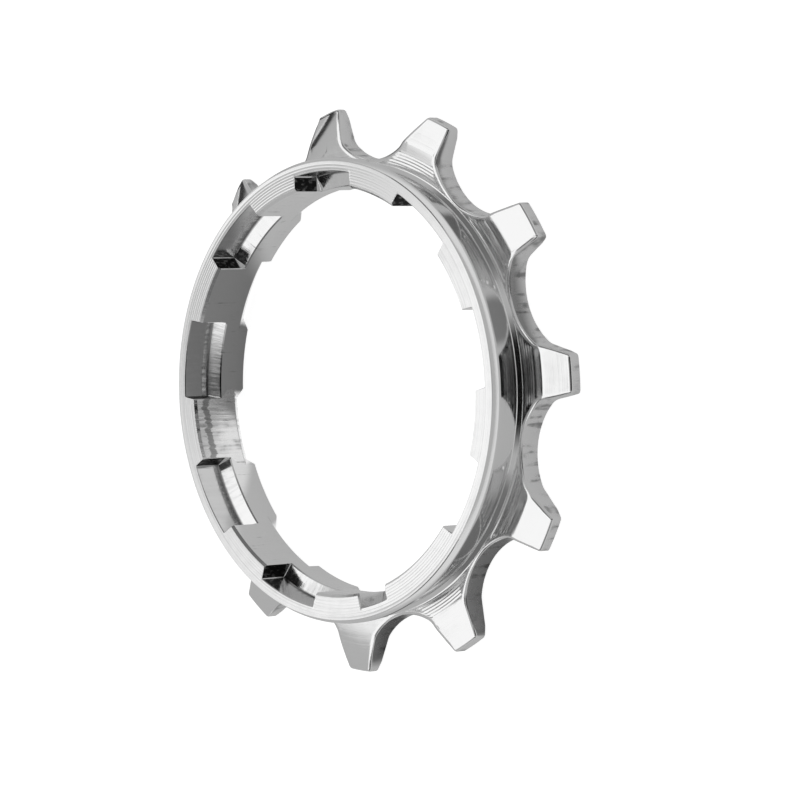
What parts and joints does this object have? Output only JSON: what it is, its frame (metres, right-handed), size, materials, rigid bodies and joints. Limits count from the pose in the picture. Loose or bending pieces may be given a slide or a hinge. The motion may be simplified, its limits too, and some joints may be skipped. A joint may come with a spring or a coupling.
{
  "type": "cassette cog",
  "caption": "Small sprocket ring with lopsided teeth on a thin bevelled plate, two of them ramped, a grooved spacer collar on one side and a splined bore with one narrow keying notch.",
  "frame": {"origin": "on the axis of the bore, in the plane of the outboard face that the lockring bears on, which is the lowest face", "axes": "+Z along the axle from the outboard face towards the inboard end of the spacer collar; +X through the middle of one tooth"},
  "size_m": [0.0451, 0.0455, 0.0054],
  "materials": {
    "plated_steel": "bright nickel-chrome plating over turned and stamped steel, with fine concentric tool marks"
  },
  "bodies": {
    "root": {"cog": "plated_steel"}
  },
  "joints": []
}
